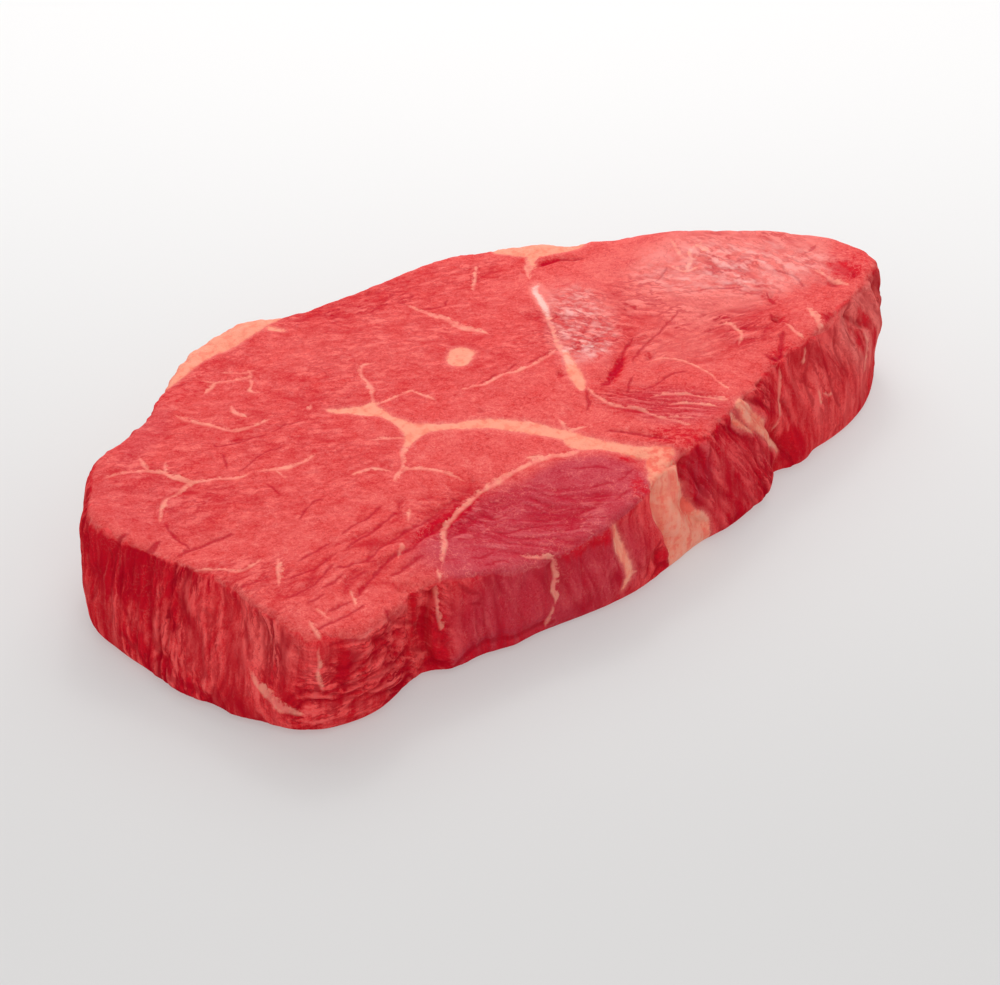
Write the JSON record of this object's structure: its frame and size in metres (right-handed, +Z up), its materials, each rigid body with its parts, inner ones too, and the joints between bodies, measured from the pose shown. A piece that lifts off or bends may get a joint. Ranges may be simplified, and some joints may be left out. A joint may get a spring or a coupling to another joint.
{
  "type": "raw beef steak",
  "caption": "Thick raw boneless beef steak lying flat, an irregular long oval that tapers to one end, with seams of fat between its muscles.",
  "frame": {"origin": "on the surface that the steak lies on, under the middle of its outline's box", "axes": "+X along the steak from its broad end to its narrow end, +Y across it towards the fat rim, +Z up through the slice, out of the upper cut face"},
  "size_m": [0.2304, 0.1264, 0.0348],
  "materials": {
    "meat": "moist raw beef, soft sheen on the cut face"
  },
  "bodies": {
    "root": {"steak": "meat"}
  },
  "joints": []
}
